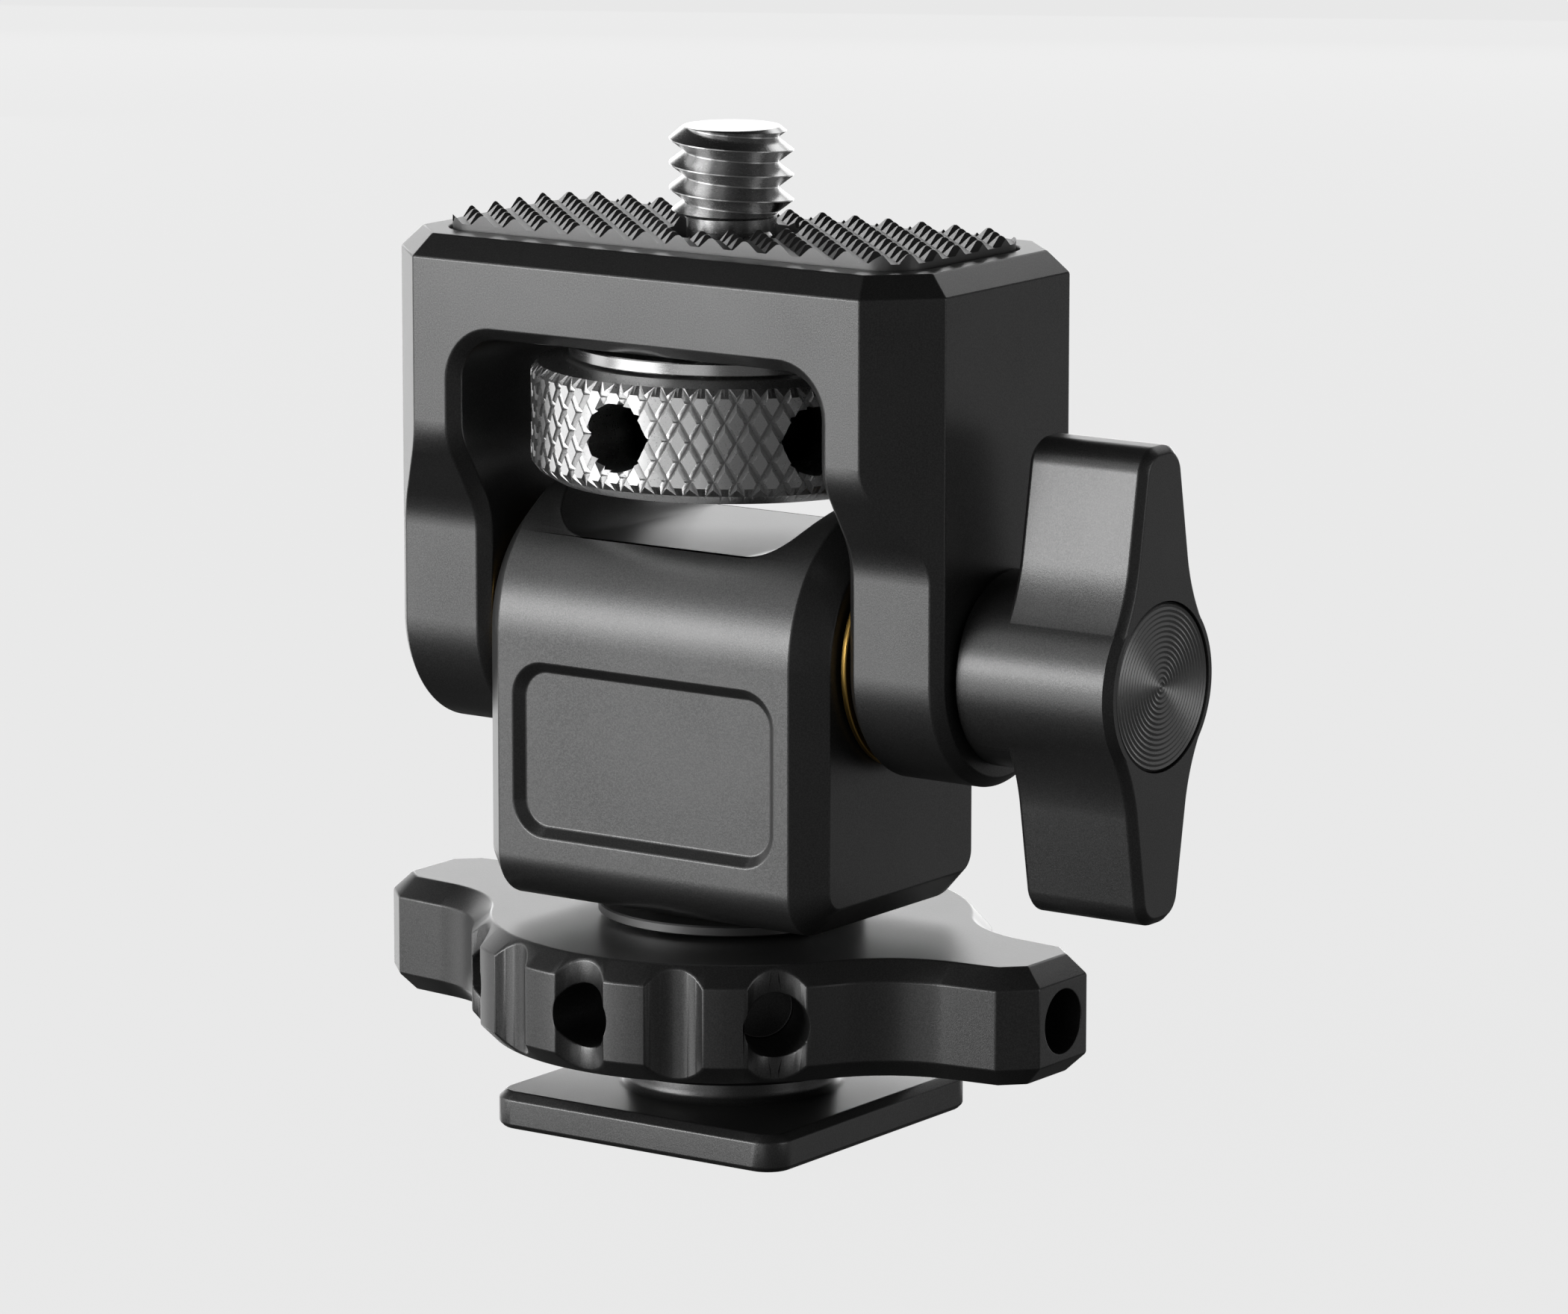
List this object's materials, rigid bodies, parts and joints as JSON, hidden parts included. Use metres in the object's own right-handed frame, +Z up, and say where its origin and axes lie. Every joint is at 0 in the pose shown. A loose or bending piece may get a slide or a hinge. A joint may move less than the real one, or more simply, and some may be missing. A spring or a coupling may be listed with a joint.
{
  "type": "camera monitor tilt and swivel mount",
  "caption": "Small tilt and swivel mount for a camera monitor: cold-shoe foot with clamp wheel, swivel block, locking tilt yoke and captive thumbscrew.",
  "frame": {"origin": "middle of the shoe foot's underside, on the swivel axis", "axes": "+Z up along the swivel axis; the front is -Y; the wing knob is on the +X side, and the tilt axis runs along X"},
  "size_m": [0.0465, 0.0268, 0.0517],
  "materials": {
    "black_anodised": "bead-blasted black anodised",
    "turned_black": "black anodised with fine turned rings",
    "polished_steel": "polished stainless",
    "knurled_steel": "bright diamond-knurled stainless",
    "black_steel": "black oxide",
    "brass": "polished brass",
    "black_rubber": "matte moulded rubber",
    "black_acetal": "machined acetal",
    "nylon": "natural nylon"
  },
  "bodies": {
    "foot": {"shoe_foot": "black_anodised"},
    "clamp_slider": {"pressure_washer": "black_acetal"},
    "clamp": {"clamp_wheel": "black_anodised"},
    "swivel": {"swivel_block": "black_anodised", "swivel_washer": "polished_steel", "retaining_pin_left": "polished_steel", "retaining_pin_right": "polished_steel", "friction_plug": "nylon", "friction_screw": "black_steel", "bolt_bushing": "nylon"},
    "tilt_frame": {"yoke": "black_anodised", "rubber_pad": "black_rubber", "brass_washer_left": "brass", "brass_washer_right": "brass", "threaded_insert": "polished_steel"},
    "knob_slider": {"knob_washer": "polished_steel"},
    "knob": {"tilt_knob": "black_anodised", "knob_cap": "turned_black", "tilt_bolt": "polished_steel", "knob_screw": "black_steel"},
    "screw": {"mounting_screw": "polished_steel", "screw_collar": "polished_steel", "thumbwheel": "knurled_steel", "wheel_grub_screw": "black_steel"}
  },
  "joints": [
    {"name": "swivel_turn", "type": "hinge", "parent": "foot", "child": "swivel", "pos_m": [0, 0, 0.0118], "axis": [0, 0, 1], "continuous": true},
    {"name": "tilt", "type": "hinge", "parent": "swivel", "child": "tilt_frame", "pos_m": [0, 0, 0.0256], "axis": [1, 0, 0], "range_deg": [-90, 90]},
    {"name": "clamp_travel", "type": "slide", "parent": "foot", "child": "clamp_slider", "axis": [0, 0, 1], "range_m": [-0.0012, 0]},
    {"name": "clamp_spin", "type": "hinge", "parent": "clamp_slider", "child": "clamp", "pos_m": [0, 0, 0.00478], "axis": [0, 0, 1], "range_deg": [-430, 0]},
    {"name": "knob_travel", "type": "slide", "parent": "tilt_frame", "child": "knob_slider", "axis": [1, 0, 0], "range_m": [0, 0.0012]},
    {"name": "knob_spin", "type": "hinge", "parent": "knob_slider", "child": "knob", "pos_m": [0.0175, 0, 0.0256], "axis": [1, 0, 0], "range_deg": [0, 540]},
    {"name": "screw_spin", "type": "hinge", "parent": "tilt_frame", "child": "screw", "pos_m": [0, 0, 0.03375], "axis": [0, 0, 1], "continuous": true}
  ],
  "couplings": [
    {"joint": "clamp_travel", "follows": "clamp_spin", "m_per_rad": 0.00015915},
    {"joint": "knob_travel", "follows": "knob_spin", "m_per_rad": 0.00012732}
  ]
}
